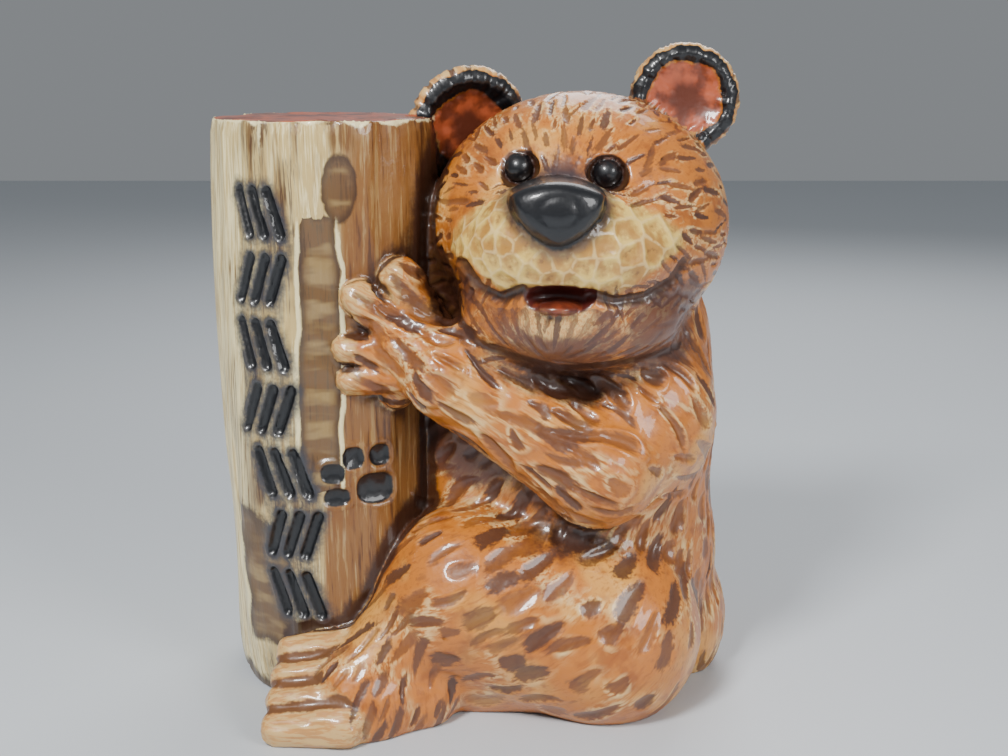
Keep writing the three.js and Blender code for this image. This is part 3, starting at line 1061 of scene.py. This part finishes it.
# The mesh of one piece from points and four-sided faces.
def meshFrom(name, points, faces):
    mesh = bpy.data.meshes.new(name)
    mesh.vertices.add(len(points))
    mesh.vertices.foreach_set("co", np.asarray(points, np.float32).ravel())
    mesh.loops.add(faces.size)
    mesh.loops.foreach_set("vertex_index", faces.ravel().astype(np.int32))
    mesh.polygons.add(len(faces))
    mesh.polygons.foreach_set("loop_start", np.arange(0, faces.size, faces.shape[1], dtype=np.int32))
    mesh.polygons.foreach_set("use_smooth", np.ones(len(faces), bool))
    mesh.update(calc_edges=True)
    mesh.validate()
    piece = bpy.data.objects.new(name, mesh)
    bpy.context.scene.collection.objects.link(piece)
    return piece


# Thins a dense mesh to the triangles that a piece may have.
def thinned(dense, name, triangles):
    modifier = dense.modifiers.new("thin", "DECIMATE")
    modifier.ratio = triangles / (2 * len(dense.data.polygons))
    graph = bpy.context.evaluated_depsgraph_get()
    mesh = bpy.data.meshes.new_from_object(dense.evaluated_get(graph))
    mesh.name = name
    dense.modifiers.remove(modifier)
    bpy.data.objects.remove(dense)
    piece = bpy.data.objects.new(name, mesh)
    bpy.context.scene.collection.objects.link(piece)
    return piece


def coordinates(mesh):
    flat = np.empty(3 * len(mesh.vertices), np.float32)
    mesh.vertices.foreach_get("co", flat)
    return flat.reshape(-1, 3)


def buildBear():
    whole, bear, log = sculpt()
    print("clay pressed", whole.field.shape)
    points, quads = skin(whole)
    free = points[:, 2] > 0.7 * clay["voxel"]
    for _ in range(2):
        step = whole.sample(points)[:, None] * whole.normals(points)
        points[free] -= np.clip(step, -0.8, 0.8)[free]
    normals = whole.normals(points)
    print("skin", len(points), "points")
    relief, masks = carveSkin(points, normals, bear, log)
    shift = (relief.rim - relief.depth) * smoothStep(points[:, 2], 0.8, 4)
    carved = points + normals * shift[:, None]
    carved[:, 2] = np.maximum(carved[:, 2], 0)
    print("carved")

    low, high = carved.min(0), carved.max(0)
    cadLow, cadHigh = np.array(cadBox[0]), np.array(cadBox[1])
    scale = float(np.min((cadHigh - cadLow) / (high - low))) * 0.9995
    middle = np.array([(low[0] + high[0]) / 2, (low[1] + high[1]) / 2, 0])
    foot = np.array([(cadLow[0] + cadHigh[0]) / 2, (cadLow[1] + cadHigh[1]) / 2, 0])
    print("drawing scale", round(scale, 6), "box", (high - low).round(2))

    def toFrame(p):
        return (np.asarray(p, np.float64) - middle) * scale + foot

    dense = meshFrom("dense", toFrame(carved), quads)
    piece = thinned(dense, "bearFigurine", clay["triangles"])
    found = coordinates(piece.data)
    tree = treeOf(toFrame(carved))
    nearestPoint = np.array([tree.find(p)[1] for p in found.tolist()])
    for name, values in masks.items():
        kind, field = ("FLOAT", "value") if values.ndim == 1 else ("FLOAT_VECTOR", "vector")
        layer = piece.data.attributes.new(name, kind, "POINT")
        layer.data.foreach_set(field, values[nearestPoint].astype(np.float32).ravel())
    print("thinned to", len(piece.data.polygons), "faces")
    return piece, toFrame


def linear(r, g, b):
    return tuple(c / 12.92 if c <= 0.04045 else ((c + 0.055) / 1.055) ** 2.4 for c in (r, g, b)) + (1.0,)


paint = {
    "fur": linear(0.76, 0.445, 0.13),
    "furPale": linear(0.88, 0.63, 0.29),
    "furDeep": linear(0.58, 0.30, 0.09),
    "ridge": linear(0.96, 0.84, 0.58),
    "gouge": linear(0.27, 0.165, 0.13),
    "shade": linear(0.33, 0.20, 0.16),
    # painted shade for creases, hollows and the face's grooves
    "hollowShade": linear(0.22, 0.11, 0.06),
    "muzzle": linear(0.90, 0.76, 0.39),
    "muzzleWarm": linear(0.70, 0.49, 0.21),
    "cream": linear(0.84, 0.68, 0.43),
    "toeBrown": linear(0.43, 0.27, 0.14),
    "wood": linear(0.79, 0.68, 0.44),
    "woodPale": linear(0.98, 0.92, 0.70),
    "woodStreak": linear(0.50, 0.36, 0.20),
    "woodWarm": linear(0.50, 0.31, 0.11),
    "woodDark": linear(0.27, 0.14, 0.06),
    "patch": linear(0.38, 0.26, 0.14),
    "patchDeep": linear(0.23, 0.14, 0.07),
    "red": linear(0.70, 0.33, 0.19),
    "redDeep": linear(0.36, 0.16, 0.09),
    "mouth": linear(0.30, 0.09, 0.06),
    "black": linear(0.035, 0.04, 0.06),
    "halo": linear(0.19, 0.20, 0.23),
}

glaze = {"roughness": 0.42, "coat": 0.5, "coatRoughness": 0.06, "bumpMm": 0.5, "bumpStrength": 0.6}


# Nodes of one tree, made by short calls. A value may be given as the name of a mask.
class Paint:
    def __init__(self, tree):
        self.tree = tree

    def node(self, kind, inputs, **settings):
        made = self.tree.nodes.new(kind)
        for key, value in settings.items():
            setattr(made, key, value)
        for key, value in inputs.items():
            self.put(made.inputs[key], value)
        return made

    def put(self, socket, value):
        if isinstance(value, bpy.types.NodeSocket):
            self.tree.links.new(value, socket)
        else:
            socket.default_value = value

    def mask(self, name):
        return self.node("ShaderNodeAttribute", {}, attribute_name=name).outputs["Fac"]

    def named(self, value):
        return self.mask(value) if isinstance(value, str) else value

    def math(self, operation, a, b=0.0):
        return self.node("ShaderNodeMath", {0: a, 1: b}, operation=operation).outputs[0]

    def times(self, value, *others):
        for other in others:
            value = self.math("MULTIPLY", value, other)
        return value

    # Rises softly from 0 where the value is low to the top where it is high.
    def step(self, value, low, high, top=1.0):
        value = self.named(value)
        inputs = {"Value": value, "From Min": low, "From Max": high, "To Min": 0.0, "To Max": top}
        made = self.node("ShaderNodeMapRange", inputs, interpolation_type="SMOOTHSTEP")
        return made.outputs["Result"]

    # The same with a ragged edge, pushed about by this many mm.
    def brushed(self, value, low, high, ragged):
        inputs = {"Mask": self.named(value), "From": low, "To": high, "Ragged": ragged}
        group = bpy.data.node_groups["brushEdge"]
        return self.node("ShaderNodeGroup", inputs, node_tree=group).outputs["Cover"]

    def over(self, below, colour, mask):
        made = self.node("ShaderNodeMix", {}, data_type="RGBA", clamp_factor=True)
        self.put(made.inputs[0], mask)
        self.put(made.inputs[6], below)
        self.put(made.inputs[7], colour)
        return made.outputs[2]

    # Lays a named colour over another, where all the covers let it through.
    def coat(self, below, name, *covers):
        return self.over(below, paint[name], self.times(*covers))

    def noiseAt(self, place, scale, offset, detail, rough):
        scaled = self.node("ShaderNodeVectorMath", {0: place, 1: scale}, operation="MULTIPLY")
        moved = self.node("ShaderNodeVectorMath", {0: scaled.outputs[0], 1: offset}, operation="ADD")
        inputs = {"Vector": moved.outputs[0], "Scale": 1.0, "Detail": detail, "Roughness": rough}
        return self.node("ShaderNodeTexNoise", inputs).outputs["Fac"]

    # Noise with its grain given in mm along each axis.
    def noise(self, size, detail=3.0, rough=0.55, offset=(0, 0, 0)):
        place = self.node("ShaderNodeTexCoord", {}).outputs["Object"]
        return self.noiseAt(place, tuple(1000 / s for s in size), offset, detail, rough)

    # Streaks left by a dry brush along the fur, this many mm wide.
    def streaks(self, wide, detail=2.0, offset=(0, 0, 0)):
        place = self.node("ShaderNodeAttribute", {}, attribute_name="brushPlace").outputs["Vector"]
        return self.noiseAt(place, (1 / wide,) * 3, offset, detail, 0.55)


# A painted edge: a mask pushed about by two grains of brush noise.
def makeBrushEdge():
    group = bpy.data.node_groups.new("brushEdge", "ShaderNodeTree")
    for name, value in (("Mask", 0.0), ("From", 0.0), ("To", 1.0), ("Ragged", 1.0)):
        socket = group.interface.new_socket(name, in_out="INPUT", socket_type="NodeSocketFloat")
        socket.default_value = value
    group.interface.new_socket("Cover", in_out="OUTPUT", socket_type="NodeSocketFloat")
    p = Paint(group)
    inputs = group.nodes.new("NodeGroupInput").outputs
    outputs = group.nodes.new("NodeGroupOutput").inputs
    grain = p.math("ADD", p.noise((5, 5, 5), 2.0), p.math("MULTIPLY", p.noise((1.4, 1.4, 1.4), 2.0), 0.6))
    push = p.math("MULTIPLY", p.math("SUBTRACT", grain, 0.8), inputs["Ragged"])
    pushed = p.math("ADD", inputs["Mask"], push)
    group.links.new(p.step(pushed, inputs["From"], inputs["To"]), outputs["Cover"])


# The grains that several colours share.
def grains(p):
    return {
        "broad": p.noise((38, 38, 38), 2.0),
        "region": p.noise((24, 24, 24), 1.0, offset=(11, 4, 8)),
        "medium": p.noise((13, 13, 13), 3.0, offset=(7, 3, 1)),
        "fine": p.noise((3.2, 3.2, 3.2), 3.0, offset=(2, 9, 5)),
        "hair": p.streaks(1.7),
        "hairBroad": p.streaks(4.0, 3.0, (4, 9, 2)),
        "streak": p.noise((3.0, 3.0, 60), 4.0, 0.65),
        "streakFine": p.noise((1.3, 1.3, 30), 3.0, 0.6, offset=(5, 1, 3)),
        "wash": p.noise((16, 16, 45), 2.0, 0.5, offset=(4, 4, 9)),
        "chatter": p.noise((30, 30, 8), 2.0, 0.5, offset=(3, 8, 1)),
    }


# In the colours below, a step's numbers are where a layer starts, where it is full, and how
# strong it then is.
def muzzleColour(p, grain):
    fine, medium = grain["fine"], grain["medium"]
    muzzle = p.coat(paint["muzzle"], "muzzleWarm", p.step(medium, 0.42, 0.60, 0.9))
    muzzle = p.coat(muzzle, "muzzleWarm", p.step("facet", 1.5, 6.0, 0.6), p.step(fine, 0.36, 0.56))
    muzzle = p.coat(muzzle, "ridge", p.step("facet", 1.9, 0.2, 0.55))
    return p.coat(muzzle, "shade", p.step("facet", 3.0, 6.0, 0.5), p.step(fine, 0.55, 0.70))


def furColour(p, grain):
    hair, broadHair, region = grain["hair"], grain["hairBroad"], grain["region"]
    fur = p.coat(paint["fur"], "furPale", p.step(grain["broad"], 0.50, 0.66, 0.8))
    fur = p.coat(fur, "furDeep", p.step(grain["medium"], 0.50, 0.68, 0.65))
    fur = p.coat(fur, "furDeep", p.step(hair, 0.50, 0.70, 0.45))
    edge = p.times(p.step("gouge", -0.7, -0.15), p.step("gouge", 0.2, -0.05))
    fur = p.coat(fur, "ridge", edge, p.step(hair, 0.62, 0.42), p.step(region, 0.44, 0.64, 0.6))
    fur = p.coat(fur, "ridge", p.step(broadHair, 0.54, 0.70, 0.5), p.step(region, 0.50, 0.64))
    fur = p.coat(fur, "shade", p.step(broadHair, 0.44, 0.30, 0.4), p.step(region, 0.50, 0.36))
    streaky = p.math("MAXIMUM", p.step(hair, 0.60, 0.44), 0.45)
    fur = p.coat(fur, "cream", p.brushed("cream", -1.0, 2.5, 4.0), streaky)
    fur = p.coat(fur, "toeBrown", p.brushed("toeGap", -0.6, 0.9, 2.2))
    fur = p.over(fur, muzzleColour(p, grain), p.brushed("muzzle", -1.5, 2.5, 4.0))
    ragged = p.math("ADD", p.mask("gouge"), p.times(p.math("SUBTRACT", hair, 0.5), 0.9))
    inked = p.math("ADD", p.times(p.mask("ink"), 0.85), 0.1)
    fur = p.coat(fur, "gouge", p.brushed(ragged, -0.12, 0.25, 0.3), inked)
    # Purple-brown paint on brow, jaw and cheek, with painted shade under the arms, in the belly's crease
    # and under the chin.
    fur = p.coat(fur, "shade", p.brushed("shade", 0.0, 9.0, 10.0), 0.85)
    fur = p.coat(fur, "gouge", p.step("socket", 0.0, 1.6), 0.9)
    fur = p.coat(fur, "ridge", p.step("lid", 0.2, 1.2), 0.45)
    # The face's grooves take the same dark brown, a painted shadow under the muzzle's edge and in the
    # crease along the ruff.
    return p.coat(fur, "hollowShade", p.brushed("lines", 1.3, 0.5, 0.6), 0.9)


def patchColour(p, grain):
    fine, chatter = grain["streakFine"], grain["chatter"]
    patch = p.coat(paint["patchDeep"], "patch", p.step("patch", 0.3, 5.0))
    patch = p.coat(patch, "wood", p.step("patch", 1.5, 6.5), p.step(chatter, 0.44, 0.62, 0.32))
    return p.coat(patch, "patchDeep", p.step(fine, 0.48, 0.66, 0.6), p.step(chatter, 0.60, 0.44))


def woodColour(p, grain):
    streak, fine, wash = grain["streak"], grain["streakFine"], grain["wash"]
    wood = p.coat(paint["wood"], "woodPale", p.step(fine, 0.46, 0.62, 0.7))
    wood = p.coat(wood, "woodStreak", p.step(streak, 0.53, 0.70, 0.7))
    wood = p.coat(wood, "patch", p.step(wash, 0.50, 0.64, 0.85), p.step(streak, 0.36, 0.54))
    wood = p.coat(wood, "woodDark", p.step(wash, 0.46, 0.58), p.step(fine, 0.51, 0.59, 0.8))
    wood = p.coat(wood, "woodPale", p.mask("outerSide"), p.step(fine, 0.36, 0.56, 0.75))
    warm = p.math("MAXIMUM", p.step(streak, 0.30, 0.46, 0.95), 0.72)
    wood = p.coat(wood, "woodWarm", p.mask("bearSide"), warm)
    wood = p.coat(wood, "woodDark", p.mask("bearSide"), p.step(streak, 0.52, 0.66, 0.8))
    patched = p.times(p.brushed("patch", -0.5, 1.2, 1.6), 0.95)
    wood = p.over(wood, patchColour(p, grain), patched)
    wood = p.coat(wood, "woodPale", p.brushed("raised", 0.15, 0.55, 0.4), 0.85)
    wood = p.coat(wood, "woodPale", p.brushed("topRim", 0.0, 1.5, 3.0), 0.9)
    return p.coat(wood, "halo", p.brushed("halo", -6.0, 0.5, 5.0), 0.95)


def glazeMaterial():
    material = bpy.data.materials.new("glazed_fur")
    material.use_nodes = True
    makeBrushEdge()
    p = Paint(material.node_tree)
    grain = grains(p)
    colour = p.over(furColour(p, grain), woodColour(p, grain), p.step("wood", -0.3, 0.6))
    colour = p.coat(colour, "halo", p.step("halo", -6.0, 0.5, 0.75), p.step("wood", 0.0, -1.0))
    # Painted shade: dark brown in creases, hollows and where the bear meets the log, deeper where more of
    # the room in front is filled.
    colour = p.coat(colour, "hollowShade", p.brushed("hollowShade", 0.27, 0.58, 0.25), 0.95)
    red = p.coat(paint["red"], "redDeep", p.step(grain["medium"], 0.44, 0.62, 0.85))
    red = p.coat(red, "patch", p.step(grain["broad"], 0.55, 0.70, 0.6))
    colour = p.over(colour, red, p.brushed("red", -0.3, 1.2, 2.4))
    colour = p.coat(colour, "redDeep", p.step("red", 6.0, 13.0), p.step("red", 19.5, 18.5))
    throat = p.math("MAXIMUM", p.step("red", 0.4, -0.2), 0.6)
    colour = p.coat(colour, "mouth", p.step("mouth", 0.0, 1.2), throat)
    colour = p.coat(colour, "black", p.brushed("black", -0.1, 0.7, 0.8))

    shader = material.node_tree.nodes["Principled BSDF"]
    p.put(shader.inputs["Base Color"], colour)
    shader.inputs["Roughness"].default_value = glaze["roughness"]
    shader.inputs["Coat Weight"].default_value = glaze["coat"]
    shader.inputs["Coat Roughness"].default_value = glaze["coatRoughness"]
    height = p.math("ADD", p.noise((6, 6, 6), 2.0), p.times(p.noise((1.6, 1.6, 4.0), 3.0), 0.35))
    inputs = {"Strength": glaze["bumpStrength"], "Distance": glaze["bumpMm"] / 1000, "Height": height}
    p.put(shader.inputs["Normal"], p.node("ShaderNodeBump", inputs).outputs["Normal"])
    return material


bear, toFrame = buildBear()
bear.data.materials.append(glazeMaterial())
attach(bear, "root")
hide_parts("bear_figurine")
print("bear painted")

# The camera, in the drawing's mm. Its lens is assumed, and its distance fits the photo's
# perspective only as long as the figure has the height that is assumed for it.
view = {"place": (0.0, -667.0, 320.0), "pitch": 13.6, "sensor": 36.0, "lens": 46.43}
cameraData = bpy.data.cameras.new("camera")
cameraData.sensor_width = view["sensor"]
cameraData.lens = view["lens"]
camera = bpy.data.objects.new("camera", cameraData)
camera.location = toFrame(view["place"])
camera.rotation_euler = (math.radians(90 - view["pitch"]), 0, 0)
bpy.context.scene.collection.objects.link(camera)
bpy.context.scene.camera = camera

# A pale flat floor, an even sky, and soft lamps: name, place, size in metres and watts.
studio = {
    "floor": linear(0.80, 0.82, 0.84),
    "floorRoughness": 0.5,
    "half": 3.0,
    "sky": linear(0.80, 0.82, 0.84),
    "skyPower": 0.38,
    "lamps": (
        ("key", (-0.45, -0.80, 1.05), 0.26, 19),
        ("fill", (0.95, -0.9, 0.75), 0.55, 11),
        ("back", (0.35, 1.1, 1.1), 0.9, 10),
    ),
    "aim": (0, 0, 0.15),
}
half = studio["half"]
floorCorners = [(-half, -half, 0), (half, -half, 0), (half, half, 0), (-half, half, 0)]
floorMesh = bpy.data.meshes.new("floor")
floorMesh.from_pydata(floorCorners, [], [(0, 1, 2, 3)])
floor = bpy.data.objects.new("floor", floorMesh)
bpy.context.scene.collection.objects.link(floor)
floorMaterial = bpy.data.materials.new("floor")
floorMaterial.use_nodes = True
floorShader = floorMaterial.node_tree.nodes["Principled BSDF"]
floorShader.inputs["Base Color"].default_value = studio["floor"]
floorShader.inputs["Roughness"].default_value = studio["floorRoughness"]
floorMesh.materials.append(floorMaterial)

for name, place, size, power in studio["lamps"]:
    lampData = bpy.data.lights.new(name, "AREA")
    lampData.size = size
    lampData.energy = power
    lamp = bpy.data.objects.new(name, lampData)
    lamp.location = place
    ray = Vector(studio["aim"]) - Vector(place)
    lamp.rotation_euler = ray.to_track_quat("-Z", "Y").to_euler()
    bpy.context.scene.collection.objects.link(lamp)
world = bpy.data.worlds.new("studio")
world.use_nodes = True
world.node_tree.nodes["Background"].inputs["Color"].default_value = studio["sky"]
world.node_tree.nodes["Background"].inputs["Strength"].default_value = studio["skyPower"]
bpy.context.scene.world = world
print("studio lit")
